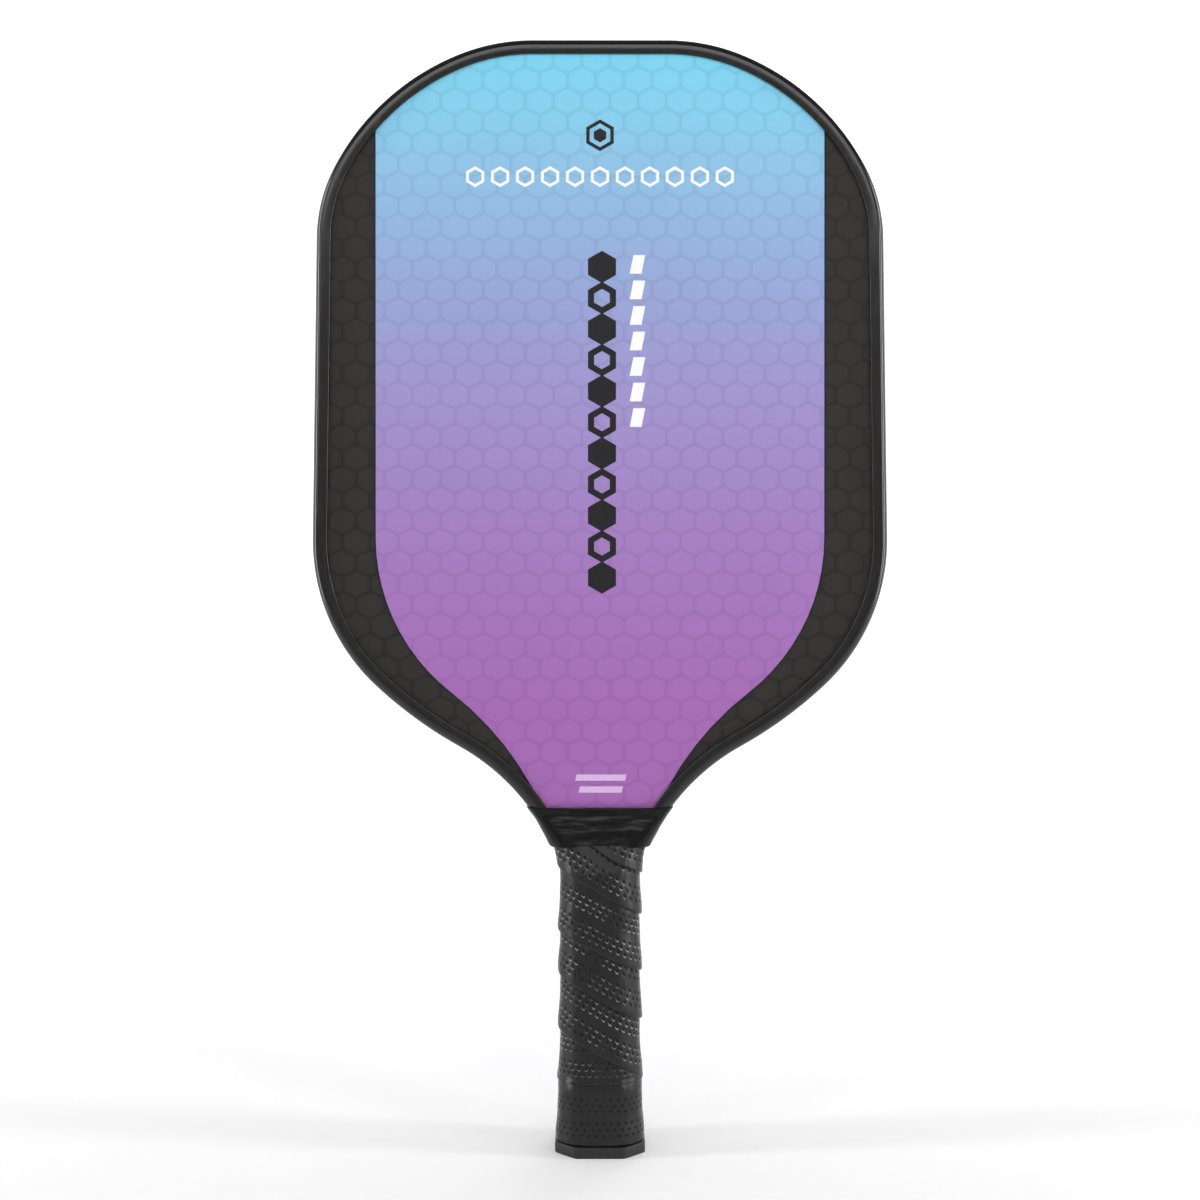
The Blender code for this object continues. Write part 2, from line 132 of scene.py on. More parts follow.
class Sketch:
    """Node tree of one material, with short ways to add nodes to it."""

    def __init__(self, name: str) -> None:
        """Start a material with its Principled shader.

        Args:
            name: Name of the material.
        """
        self.material = bpy.data.materials.new(name)
        self.material.use_nodes = True
        self.tree = self.material.node_tree
        self.shader = self.tree.nodes["Principled BSDF"]
        self.point = self.node("TexCoord", output="Object")

    def node(self, kind: str, settings: dict[str, Any] | None = None,
             sockets: dict[str | int, Any] | None = None, output: str | int = 0) -> Signal:
        """Add a node.

        Args:
            kind: Type of the node, without its ShaderNode prefix.
            settings: Properties to set before the sockets.
            sockets: Values or signals by socket name or index.
            output: Name or index of the output that is wanted.

        Returns:
            The signal of that output.
        """
        made = self.tree.nodes.new("ShaderNode" + kind)
        for key, value in (settings or {}).items():
            setattr(made, key, value)
        for key, value in (sockets or {}).items():
            if isinstance(value, Signal):
                self.tree.links.new(value.socket, made.inputs[key])
            else:
                made.inputs[key].default_value = value
        return Signal(self, made.outputs[output])

    def math(self, operation: str, *values: Signal | float) -> Signal:
        """Add a Math node of an operation on the values."""
        return self.node("Math", {"operation": operation}, dict(enumerate(values)))

    def split(self, vector: Signal) -> list[Signal]:
        """Split a vector into its three components."""
        made = self.node("SeparateXYZ", sockets={0: vector})
        return [Signal(self, socket) for socket in made.socket.node.outputs]

    def sheet(self) -> Signal:
        """Point of the surface on the piece's own UV map."""
        return self.node("UVMap", {"uv_map": "sheet"})

    def smooth_step(self, value: Signal, low: float, high: float) -> Signal:
        """Ease from 0 at the low value to 1 at the high one."""
        return self.node("MapRange", {"interpolation_type": "SMOOTHSTEP"}, {0: value, 1: low, 2: high})

    def noise(self, scale: float, detail: float = 2.0, stretch: Colour = (1, 1, 1)) -> Signal:
        """Noise from 0 to 1 around 0.5, read in the object's own metres.

        Args:
            scale: Waves per metre.
            detail: Octaves.
            stretch: Scale of each axis, below 1 to draw the pattern out.

        Returns:
            The noise value.
        """
        drawn = self.node("Mapping", sockets={"Vector": self.point, "Scale": stretch})
        return self.node("TexNoise", sockets={"Vector": drawn, "Scale": scale, "Detail": detail})

    def mix(self, share: Signal | float, first: Any, second: Any) -> Signal:
        """Mix two colours, given as signals or linear values.

        Args:
            share: Share of the second colour.
            first: Colour at 0.
            second: Colour at 1.

        Returns:
            The mixed colour.
        """
        colours = [value if isinstance(value, Signal) else (*value, 1.0) for value in (first, second)]
        sockets = {0: share, 6: colours[0], 7: colours[1]}
        return self.node("Mix", {"data_type": "RGBA"}, sockets, 2)

    def bump(self, height: Signal, distance: float, under: Signal | None = None) -> Signal:
        """Bump from a height of 0 to 1.

        Args:
            height: Height signal.
            distance: Real height of 1.
            under: Normal of a bump below this one.

        Returns:
            The normal.
        """
        sockets: dict[str | int, Any] = {"Height": height, "Distance": distance, "Strength": 1.0}
        if under is not None:
            sockets["Normal"] = under
        return self.node("Bump", sockets=sockets)

    def dress(self, **values: Any) -> Material:
        """Set or link the Principled sockets.

        Args:
            values: Values or signals by socket name, with underscores for its spaces.

        Returns:
            The material.
        """
        for key, value in values.items():
            socket = self.shader.inputs[key.replace("_", " ")]
            if isinstance(value, Signal):
                self.tree.links.new(value.socket, socket)
            elif isinstance(value, tuple):
                socket.default_value = (*value, 1.0)
            else:
                socket.default_value = value
        return self.material


# Mesh tools

def clamp(value: float) -> float:
    """Value kept from 0 to 1."""
    return min(max(value, 0.0), 1.0)


def polar(radius: float, angle: float, height: float = 0.0) -> Vector:
    """Point at a radius and an angle around Z."""
    return Vector((radius * cos(angle), radius * sin(angle), height))


def quarter_turn(steps: int) -> list[Point]:
    """Sines and cosines of a quarter turn in even steps."""
    angles = [pi / 2 * step / steps for step in range(steps + 1)]
    return [(sin(angle), cos(angle)) for angle in angles]


def circle(columns: int, start: float = 0.0) -> list[float]:
    """Angles once around in even steps."""
    return [start + tau * column / columns for column in range(columns)]


def wrapped_grid(rows: Sequence[Sequence[Vector]]) -> BMesh:
    """Tube through rows of points.

    Args:
        rows: Rows from one end to the other, each of them once around.

    Returns:
        The open-ended tube.
    """
    columns = len(rows[0])
    shell = bmesh.new()
    bmesh.ops.create_grid(shell, x_segments=columns, y_segments=len(rows) - 1, size=0.5)
    for vertex in shell.verts:
        row = rows[round((vertex.co.y + 0.5) * (len(rows) - 1))]
        vertex.co = row[round((vertex.co.x + 0.5) * columns) % columns]
    bmesh.ops.remove_doubles(shell, verts=shell.verts, dist=0.002 * MM)
    bmesh.ops.recalc_face_normals(shell, faces=shell.faces)
    return shell


def close_ends(shell: BMesh) -> None:
    """Cap every open rim of a tube with a face."""
    bmesh.ops.holes_fill(shell, edges=[edge for edge in shell.edges if edge.is_boundary])
    bmesh.ops.recalc_face_normals(shell, faces=shell.faces)


def add_object(name: str, data: bpy.types.ID) -> Object:
    """Add an object to the scene.

    Args:
        name: Its name.
        data: Its mesh, light or camera.

    Returns:
        The object.
    """
    made = bpy.data.objects.new(name, data)
    bpy.context.scene.collection.objects.link(made)
    return made


def add_mesh(name: str, shape: BMesh, material: Material) -> Object:
    """Add a smooth mesh object to the scene.

    Args:
        name: Its name.
        shape: Its shape, in place, which is used up.
        material: Its material.

    Returns:
        The object.
    """
    mesh = bpy.data.meshes.new(name)
    shape.to_mesh(mesh)
    shape.free()
    mesh.shade_smooth()
    mesh.materials.append(material)
    return add_object(name, mesh)


def finish_piece(name: str, shape: BMesh, material: Material,
                 stands_for: str = "", sharp_angle: float = 35.0) -> Object:
    """Turn a bmesh into a piece of the paddle that rides on its body.

    Args:
        name: Name of the piece.
        shape: Its shape, in place.
        material: Its material.
        stands_for: CAD node that it replaces.
        sharp_angle: Edges that turn more than this many degrees stay sharp.

    Returns:
        The piece.
    """
    piece = add_mesh(name, shape, material)
    piece.data.set_sharp_from_angle(angle=radians(sharp_angle))
    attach(piece, BODY)
    if stands_for:
        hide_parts(stands_for)
    log.info("%s: %d faces", name, len(piece.data.polygons))
    return piece


def redress(node: str, material: Material) -> None:
    """Give a CAD node that keeps its mesh a better material.

    Args:
        node: Name of the node.
        material: The material.
    """
    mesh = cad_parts[node].data
    for index in range(len(mesh.materials)):
        mesh.materials[index] = material
    log.info("%s: keeps its mesh, dressed as %s", node, material.name)


def section_radius(angle: float, half_width: float, half_depth: float, bevel: float,
                   crispness: float) -> float:
    """Distance from the middle to the side of a rounded octagon.

    Args:
        angle: Direction, in radians from +X.
        half_width: Half size along X.
        half_depth: Half size along Y.
        bevel: Leg of its 45 degree bevels.
        crispness: Higher for sharper corners.

    Returns:
        The distance.
    """
    across = abs(cos(angle))
    deep = abs(sin(angle))
    corner = half_width + half_depth - bevel
    sides = (across / half_width, deep / half_depth, (across + deep) / corner)
    return sum(side ** crispness for side in sides) ** (-1 / crispness)


# Outline of the head

@dataclass
class HeadOutline:
    """Outer outline of the head, from the top middle down the right side to the handle."""

    high: Vector = field(default_factory=lambda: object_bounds()[1])
    neck_end_height: float = 95.7 * MM
    top_radii: tuple[float, ...] = (70.0 * MM, 86.0 * MM, 55.0 * MM)
    top_turns: tuple[float, ...] = (22.0, 40.0)
    side_flare: float = 0.73
    shoulder_turn: float = 47.7
    ease_turn: float = 13.9
    ease_ratio: float = 2.14
    neck_radius: float = 78.0 * MM
    neck_turn: float = 38.4
    blend_radius: float = 22.0 * MM
    handle_half_width: float = 14.1 * MM
    degrees_per_step: float = 1.5
    length_per_step: float = 4.0 * MM
    tables: dict[float, tuple[np.ndarray, np.ndarray]] = field(default_factory=dict)

    def arc(self, radius: float, heading: float, turn: float) -> Vector:
        """Displacement along an arc.

        Args:
            radius: Radius of the arc.
            heading: Heading at its start, in degrees clockwise from +X.
            turn: Degrees that it turns, clockwise if positive.

        Returns:
            The displacement in X and Z.
        """
        start = radians(heading)
        end = radians(heading + turn)
        reach = copysign(radius, turn)
        return Vector((sin(end) - sin(start), cos(end) - cos(start))) * reach

    def line(self, length: float, heading: float) -> Vector:
        """Displacement along a straight run."""
        angle = radians(heading)
        return Vector((length * cos(angle), -length * sin(angle)))

    def moves(self) -> list[Point]:
        """Moves as pairs of a size and a turn, where a turn of 0 is a straight run.

        Returns:
            The moves, with the flat top, the sides and the shoulder solved to fit the frame's box.
        """
        side_heading = 90 - self.side_flare
        arcs = list(zip(self.top_radii, (*self.top_turns, side_heading - sum(self.top_turns))))
        ease_heading = side_heading + self.shoulder_turn
        neck_heading = ease_heading + self.ease_turn
        blend_heading = neck_heading - self.neck_turn
        neck_arcs = [(self.neck_radius, -self.neck_turn), (self.blend_radius, 90 - blend_heading)]
        top, neck = Vector((0, 0)), Vector((0, 0))
        heading = 0.0
        for radius, turn in arcs:
            top += self.arc(radius, heading, turn)
            heading += turn
        heading = neck_heading
        for radius, turn in neck_arcs:
            neck += self.arc(radius, heading, turn)
            heading += turn
        side = self.line(1.0, side_heading)
        shoulder = self.arc(1.0, side_heading, self.shoulder_turn)
        shoulder += self.arc(self.ease_ratio, ease_heading, self.ease_turn)
        bulge = 1 - sin(radians(side_heading))
        unknowns = np.array(((1, side.x, shoulder.x), (0, side.y, shoulder.y), (1, side.x, bulge)))
        wanted = np.array((self.handle_half_width - top.x - neck.x,
                           self.neck_end_height - self.high.z - top.y - neck.y,
                           self.high.x - top.x))
        flat, straight, radius = (float(value) for value in np.linalg.solve(unknowns, wanted))
        return [(flat, 0.0), *arcs, (straight, 0.0), (radius, self.shoulder_turn),
                (radius * self.ease_ratio, self.ease_turn), *neck_arcs]

    def stations(self) -> list[tuple[float, float, float]]:
        """Stations down the right side.

        Returns:
            The stations, each as its X, its Z and its heading in degrees.
        """
        place = Vector((0, self.high.z))
        heading = 0.0
        found = [(place.x, place.y, heading)]
        for size, turn in self.moves():
            span = abs(turn) / self.degrees_per_step if turn else size / self.length_per_step
            count = ceil(span)
            for _ in range(count):
                place = place + (self.arc(size, heading, turn / count) if turn
                                 else self.line(size / count, heading))
                heading += turn / count
                found.append((place.x, place.y, heading))
        return found

    def half_width(self, height: float, inset: float = 0.0) -> float:
        """Half width at a height below the shoulder, moved inwards by an inset.

        Args:
            height: Height above the butt.
            inset: Distance inwards, or outwards if negative.

        Returns:
            The half width.
        """
        if inset not in self.tables:
            x, z, heading = np.array([row for row in reversed(self.stations()) if row[2] >= 90 - 1e-6]).T
            angle = np.radians(heading)
            self.tables[inset] = (z - inset * np.cos(angle), x - inset * np.sin(angle))
        return float(np.interp(height, *self.tables[inset]))


# Finishes

@dataclass(frozen=True)
class HexPattern:
    """Honeycomb pattern that shows through the faces."""

    column_pitch: float = 9.94 * MM
    row_pitch: float = 7.4 * MM
    wall_share: float = 0.12
    softness: float = 0.045
    roundness: float = 0.93
    column_shift: float = 1.5 * MM
    relief_height: float = 0.03 * MM

    def walls(self, sketch: Sketch) -> Signal:
        """Mask of the cell walls.

        Args:
            sketch: Material that it is drawn in.

        Returns:
            1 on the walls and 0 inside the cells.
        """
        x, _, z = sketch.split(sketch.point)
        tall = sqrt(3)
        across = (x + self.column_shift) / self.column_pitch
        along = z / (2 * self.row_pitch)
        distances = []
        for shift in (0.0, 0.5):
            dx = abs(sketch.math("FRACT", across + (shift + 20)) - 0.5)
            dz = abs(sketch.math("FRACT", along + (shift + 20)) - 0.5) * tall
            flat = sketch.math("MAXIMUM", dx, dx * 0.5 + dz * (tall / 2))
            far = sketch.math("SQRT", dx * dx + dz * dz) * self.roundness
            distances.append(sketch.math("MAXIMUM", flat, far))
        nearest = sketch.math("MINIMUM", *distances)
        edge = 0.5 - self.wall_share / 2
        return sketch.smooth_step(nearest, edge - self.softness, edge + self.softness)

@dataclass(frozen=True)
class PrintedFilm:
    """Satin print that fades from sky blue at the tip to violet at the throat, over fine grit."""

    bottom: float
    top: float
    hexagons: HexPattern = HexPattern()
    shades: tuple[tuple[float, tuple[int, int, int]], ...] = (
        (0.00, (163, 104, 177)), (0.13, (163, 105, 178)), (0.28, (164, 117, 187)),
        (0.36, (162, 125, 192)), (0.52, (160, 144, 203)), (0.60, (156, 154, 208)),
        (0.68, (151, 166, 215)), (0.84, (143, 194, 230)), (0.91, (133, 206, 237)),
        (0.98, (125, 212, 241)))
    wall_darkening: float = 0.10
    grit_scale: float = 2600.0

    def make(self) -> Material:
        """Build the material.

        Returns:
            The material.
        """
        sketch = Sketch("film_print_gradient")
        height = sketch.split(sketch.point)[2]
        share = sketch.node("MapRange", sockets={0: height, 1: self.bottom, 2: self.top})
        print_colour = sketch.node("ValToRGB", sockets={0: share})
        stops = print_colour.socket.node.color_ramp.elements
        while len(stops) < len(self.shades):
            stops.new(1.0)
        for stop, (position, shade) in zip(stops, self.shades):
            stop.position = position
            stop.color = (*srgb(*shade), 1.0)
        walls = self.hexagons.walls(sketch)
        cloud = sketch.noise(26.0, 3.0)
        grit = sketch.noise(self.grit_scale, 1.0)
        speckle = sketch.smooth_step(grit, 0.35, 0.75)
        depth = walls * self.wall_darkening + (cloud - 0.5) * 0.05 + speckle * 0.035
        dark = sketch.mix(sketch.math("MAXIMUM", depth, 0.0), print_colour, (0.0, 0.0, 0.0))
        relief = sketch.bump(1 - walls, self.hexagons.relief_height)
        grain = sketch.bump(grit, 0.012 * MM, under=relief)
        rough = 0.42 + (cloud - 0.5) * 0.12 + walls * 0.06
        return sketch.dress(Base_Color=dark, Roughness=rough, Normal=grain, Specular_IOR_Level=0.22)


@dataclass(frozen=True)
class FaceComposite:
    """Bare charcoal face sheet beside the print, with the core's cells showing through."""

    colour: Colour = srgb(43, 39, 38)
    wall_colour: Colour = srgb(32, 29, 29)
    hexagons: HexPattern = HexPattern()

    def make(self) -> Material:
        """Build the material.

        Returns:
            The material.
        """
        sketch = Sketch("face_composite_charcoal")
        walls = self.hexagons.walls(sketch)
        fibre = sketch.noise(900.0, 2.0, (1.0, 1.0, 0.12))
        cloud = sketch.noise(30.0, 2.0)
        base = sketch.mix(walls, self.colour, self.wall_colour)
        toned = sketch.mix((cloud - 0.35) * 0.5, base, self.wall_colour)
        relief = sketch.bump(1 - walls, self.hexagons.relief_height)
        grain = sketch.bump(fibre, 0.015 * MM, under=relief)
        return sketch.dress(Base_Color=toned, Roughness=0.42 + fibre * 0.12, Normal=grain,
                            Specular_IOR_Level=0.25)


@dataclass(frozen=True)
class GlossyBlack:
    """Glossy black plastic or vinyl with faint scuffs."""

    name: str
    colour: Colour = (0.0015, 0.0015, 0.0016)
    roughness: float = 0.13
    scuff: float = 0.10
    specular: float = 0.6
    ripple_height: float = 0.012 * MM
    ripple_scale: float = 90.0
    stretch: Colour = (1.0, 1.0, 1.0)

    def make(self) -> Material:
        """Build the material.

        Returns:
            The material.
        """
        sketch = Sketch(self.name)
        scuffs = sketch.smooth_step(sketch.noise(420.0, 4.0, (1.0, 1.0, 0.3)), 0.52, 0.75)
        ripple = sketch.noise(self.ripple_scale, 3.0, self.stretch)
        worn = sketch.mix(scuffs * 0.3, self.colour, (0.012, 0.012, 0.0125))
        normal = sketch.bump(ripple, self.ripple_height)
        rough = self.roughness + scuffs * self.scuff
        return sketch.dress(Base_Color=worn, Roughness=rough, Normal=normal,
                            Specular_IOR_Level=self.specular)


@dataclass(frozen=True)
class CapPlastic:
    """Satin black moulded plastic with a fine spark texture."""

    colour: Colour = (0.0065, 0.0065, 0.0065)

    def make(self) -> Material:
        """Build the material.

        Returns:
            The material.
        """
        sketch = Sketch("cap_plastic_satin")
        spark = sketch.noise(1800.0, 2.0)
        cloud = sketch.noise(60.0, 2.0)
        toned = sketch.mix((cloud - 0.4) * 0.6, self.colour, (0.012, 0.012, 0.012))
        normal = sketch.bump(spark, 0.02 * MM)
        return sketch.dress(Base_Color=toned, Roughness=0.45 + cloud * 0.15, Normal=normal)


@dataclass(frozen=True)
class GripLeather:
    """Perforated cushioned synthetic leather, with painted shade in its holes and painted glints at their
    rims. Its UV map is metres around and metres above each seam.
    """

    around: float
    holes_around: int
    colour: Colour = srgb(20, 20, 20)
    worn_colour: Colour = srgb(43, 43, 42)
    # Painted shade: the holes are only a bump, so they are painted near black for the shade inside them.
    hole_colour: Colour = (0.002, 0.002, 0.002)
    # Painted highlight: colour of the glints painted at the holes' lower rims, from glint_from to
    # glint_to in height.
    glint_colour: Colour = srgb(150, 150, 148)
    glint_from: float = 24.0 * MM
    glint_to: float = 36.0 * MM
    first_band: float = 5.6 * MM
    second_band: float = 13.9 * MM
    row_spacing: float = 2.0 * MM
    hole_radius: float = 0.52 * MM
    hole_softness: float = 0.16 * MM
    seam_wear: float = 0.9 * MM

    def holes(self, sketch: Sketch, drop: float = 0.0) -> Signal:
        """Mask of the perforations.

        Args:
            sketch: Material that it is drawn in.
            drop: Distance that they are moved down.

        Returns:
            1 in a hole and 0 between holes.
        """
        along, above, _ = sketch.split(sketch.sheet())
        pitch = self.around / self.holes_around
        upper = sketch.math("GREATER_THAN", above, (self.first_band + self.second_band) / 2)
        band = self.first_band + upper * (self.second_band - self.first_band)
        local = (above - band) / self.row_spacing
        row = sketch.math("MAXIMUM", sketch.math("MINIMUM", sketch.math("ROUND", local), 1.0), -1.0)
        dv = (local - row) * self.row_spacing + drop
        du = (sketch.math("FRACT", along / pitch + abs(row) * 0.5) - 0.5) * pitch
        distance = sketch.math("SQRT", du * du + dv * dv)
        return 1 - sketch.smooth_step(distance, self.hole_radius - self.hole_softness,
                                      self.hole_radius + self.hole_softness)

    def make(self) -> Material:
        """Build the material.

        Returns:
            The material.
        """
        sketch = Sketch("grip_cushion_leather")
        above = sketch.split(sketch.sheet())[1]
        holes = self.holes(sketch)
        seam = 1 - sketch.smooth_step(above, 0.1 * MM, self.seam_wear)
        grain = sketch.noise(1500.0, 3.0)
        crease = sketch.noise(150.0, 4.0, (1.0, 1.0, 0.45))
        cloud = sketch.noise(45.0, 3.0)
        base = sketch.mix((cloud - 0.3) * 0.45, self.colour, self.worn_colour)
        edged = sketch.mix(seam * 0.45, base, self.worn_colour)
        # Painted highlight: light crescents at the lower rims of the holes, higher up the handle and in
        # patches, stand in for glints of light.
        lit = sketch.smooth_step(sketch.split(sketch.point)[2], self.glint_from, self.glint_to)
        patchy = sketch.smooth_step(sketch.noise(75.0, 2.0), 0.42, 0.62)
        glint = self.holes(sketch, self.hole_radius * 0.8) * (1 - holes) * lit * patchy
        glinting = sketch.mix(glint, edged, self.glint_colour)
        # Painted shade: the near black of the holes stands in for the shade inside them.
        punched = sketch.mix(holes, glinting, self.hole_colour)
        folds = sketch.bump(crease, 0.42 * MM)
        skin = sketch.bump(grain, 0.03 * MM, under=folds)
        normal = sketch.bump(1 - holes, 0.35 * MM, under=skin)
        rough = 0.25 + cloud * 0.16 + holes * 0.4 - seam * 0.08
        return sketch.dress(Base_Color=punched, Roughness=rough, Normal=normal, Specular_IOR_Level=0.32)


@dataclass(frozen=True)
class Ink:
    """Screen-printed ink."""

    name: str
    colour: Colour

    def make(self) -> Material:
        """Build the material.

        Returns:
            The material.
        """
        sketch = Sketch(self.name)
        speck = sketch.noise(1900.0, 2.0)
        thin = sketch.mix(sketch.smooth_step(speck, 0.6, 0.8) * 0.12, self.colour, (0.2, 0.17, 0.3))
        normal = sketch.bump(speck, 0.006 * MM)
        return sketch.dress(Base_Color=thin, Roughness=0.4 + speck * 0.1, Normal=normal,
                            Specular_IOR_Level=0.22)


@dataclass(frozen=True)
class PlainStock:
    """Foam or polymer that the wrap and the faces hide."""

    name: str
    colour: Colour
    dark: Colour
    scale: float

    def make(self) -> Material:
        """Build the material.

        Returns:
            The material.
        """
        sketch = Sketch(self.name)
        pores = sketch.noise(self.scale, 3.0)
        toned = sketch.mix(sketch.smooth_step(pores, 0.4, 0.7) * 0.4, self.colour, self.dark)
        normal = sketch.bump(pores, 0.05 * MM)
        return sketch.dress(Base_Color=toned, Roughness=0.6 + pores * 0.15, Normal=normal)


# Sub-assemblies

@dataclass
class HeadPanel:
    """Core, face sheets and printed films of the head, with the ink on the films and a painted shadow
    line along each print's edge.
    """

    ink_thickness: float = 0.03 * MM
    # Width of the painted shadow line along the print's edge.
    pinstripe_width: float = 0.45 * MM
    divider_height: float = 343.4 * MM
    divider_count: int = 11
    divider_pitch: float = 8.8 * MM
    divider_radius: float = 3.7 * MM
    divider_stroke: float = 1.15 * MM
    column_top: float = 311.6 * MM
    column_count: int = 11
    column_pitch: float = 10.95 * MM
    column_radius: float = 5.7 * MM
    column_stroke: float = 2.5 * MM
    column_offset: float = 0.7 * MM
    bar_top: float = 312.5 * MM
    bar_count: int = 7
    bar_pitch: float = 9.0 * MM
    bar_offset: float = 13.2 * MM
    bar_size: Point = (4.2 * MM, 6.6 * MM)
    bar_lean: float = 0.2
    tip_height: float = 358.0 * MM
    tip_radius: float = 5.6 * MM
    tip_stroke: float = 1.4 * MM
    tip_core_share: float = 0.45
    base_bar_heights: tuple[float, ...] = (131.6 * MM, 127.4 * MM)
    base_bar_lengths: tuple[float, ...] = (17.6 * MM, 15.2 * MM)
    base_bar_width: float = 2.2 * MM
    base_bar_offset: float = 0.3 * MM

    def dress_nodes(self) -> None:
        """Give the flat sheets, which keep their CAD meshes, their finishes."""
        low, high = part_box(self.film_node(Side.FRONT))
        film = PrintedFilm(low.z, high.z).make()
        sheet = FaceComposite().make()
        for side in Side:
            redress(self.film_node(side), film)
            redress(f"{side.name.lower()}_face_sheet", sheet)
        core = PlainStock("core_polymer_natural", (0.62, 0.60, 0.52), (0.45, 0.44, 0.38), 400.0)
        redress("honeycomb_core", core.make())

    def film_node(self, side: Side) -> str:
        """Name of a side's film."""
        return f"{side.name.lower()}_graphic_film"

    def surface(self, side: Side) -> float:
        """Y of the printed surface of a side."""
        low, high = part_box(self.film_node(side))
        return low.y if side is Side.FRONT else high.y

    def add_cell(self, sheet: BMesh, x: float, z: float, radius: float,
                 stroke: float = 0.0) -> None:
        """Add a flat hexagon of ink in the XZ plane.

        Args:
            sheet: Mesh that it is added to.
            x: Its middle.
            z: Its middle.
            radius: Its corner radius.
            stroke: Width of its outline, or 0 for a filled hexagon.
        """
        turned = Matrix.Translation((x, 0, z)) @ Matrix.Rotation(pi / 2, 4, "X")
        made = bmesh.ops.create_circle(sheet, cap_ends=True, radius=radius, segments=6, matrix=turned)
        if stroke:
            cap = made["verts"][0].link_faces[:]
            bmesh.ops.inset_region(sheet, faces=cap, thickness=stroke, use_boundary=True)
            bmesh.ops.delete(sheet, geom=cap, context="FACES")

    def add_bar(self, sheet: BMesh, x: float, z: float, size: Point) -> None:
        """Add a flat leaning bar of ink in the XZ plane.

        Args:
            sheet: Mesh that it is added to.
            x: Its middle.
            z: Its middle.
            size: Its width and height.
        """
        made = bmesh.ops.create_grid(sheet, x_segments=1, y_segments=1, size=0.5)["verts"]
        for vertex in made:
            across, up = vertex.co.x * size[0], vertex.co.y * size[1]
            vertex.co = Vector((x + across + self.bar_lean * up, 0.0, z + up))

    def raise_ink(self, sheet: BMesh, side: Side) -> BMesh:
        """Give flat ink on a side its thickness.

        Args:
            sheet: The ink, which is changed.
            side: The side that it lies on.

        Returns:
            The same mesh.
        """
        grown = bmesh.ops.extrude_face_region(sheet, geom=list(sheet.faces), use_keep_orig=True)
        raised = [item for item in grown["geom"] if isinstance(item, BMVert)]
        bmesh.ops.translate(sheet, verts=raised, vec=(0, side.value * self.ink_thickness, 0))
        bmesh.ops.recalc_face_normals(sheet, faces=sheet.faces)
        return sheet

    def print_sheet(self, sheet: BMesh, side: Side) -> BMesh:
        """Print a flat sheet of marks on a side.

        Args:
            sheet: The marks, as they read from the front.
            side: The side that they go on.

        Returns:
            The ink.
        """
        for vertex in sheet.verts:
            vertex.co.x *= -side.value
            vertex.co.y = self.surface(side)
        return self.raise_ink(sheet, side)

    def marks(self) -> dict[str, BMesh]:
        """Lay out the marks of each ink, as they read from the front.

        Returns:
            The flat marks by the ink's name: a row of cell outlines and leaning bars, a column of cells
            and the nested cells at the tip, and two bars above the throat band.
        """
        white, dark, lilac = bmesh.new(), bmesh.new(), bmesh.new()
        middle = (self.divider_count - 1) / 2
        for index in range(self.divider_count):
            self.add_cell(white, (index - middle) * self.divider_pitch, self.divider_height,
                          self.divider_radius, self.divider_stroke)
        for index in range(self.bar_count):
            self.add_bar(white, self.bar_offset, self.bar_top - index * self.bar_pitch, self.bar_size)
        for index in range(self.column_count):
            height = self.column_top - index * self.column_pitch
            stroke = self.column_stroke * (index % 2)
            self.add_cell(dark, self.column_offset, height, self.column_radius, stroke)
        self.add_cell(dark, 0.0, self.tip_height, self.tip_radius, self.tip_stroke)
        self.add_cell(dark, 0.0, self.tip_height, self.tip_radius * self.tip_core_share)
        for height, length in zip(self.base_bar_heights, self.base_bar_lengths):
            self.add_bar(lilac, self.base_bar_offset, height, (length, self.base_bar_width))
        return {"white_ink": white, "dark_ink": dark, "lilac_ink": lilac}

    def outline_stripe(self, side: Side) -> BMesh:
        """Painted shadow line: a thin dark stripe along the edge of the print, where the film's step
        shades the face, cut from a copy of the film's face.

        Args:
            side: The side that it goes on.

        Returns:
            The painted shadow line, as thin dark ink.
        """
        stripe = bmesh.new()
        stripe.from_mesh(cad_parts[self.film_node(side)].data)
        bmesh.ops.remove_doubles(stripe, verts=stripe.verts, dist=0.001 * MM)
        hidden = [face for face in stripe.faces if face.normal.y * side.value < 0.9]
        bmesh.ops.delete(stripe, geom=hidden, context="FACES")
        bmesh.ops.dissolve_faces(stripe, faces=list(stripe.faces))
        inner = list(stripe.faces)
        bmesh.ops.inset_region(stripe, faces=inner, thickness=self.pinstripe_width, use_boundary=True)
        bmesh.ops.delete(stripe, geom=inner, context="FACES")
        return self.raise_ink(stripe, side)

    def build(self) -> None:
        """Dress the sheets, print both sides and paint a shadow line along the edge of each print."""
        self.dress_nodes()
        inks = {"white_ink": Ink("ink_white", (0.95, 0.95, 0.96)).make(),
                "dark_ink": Ink("ink_black", (0.012, 0.012, 0.014)).make(),
                "lilac_ink": Ink("ink_lilac", srgb(214, 182, 224)).make()}
        for side in Side:
            label = side.name.lower()
            for name, sheet in self.marks().items():
                finish_piece(f"{label}_{name}", self.print_sheet(sheet, side), inks[name])
            # Painted shade: a thin dark ink stripe along the print's edge stands in for the shadow line
            # at the film's step.
            stripe = self.outline_stripe(side)
            finish_piece(f"{label}_pinstripe", stripe, inks["dark_ink"])


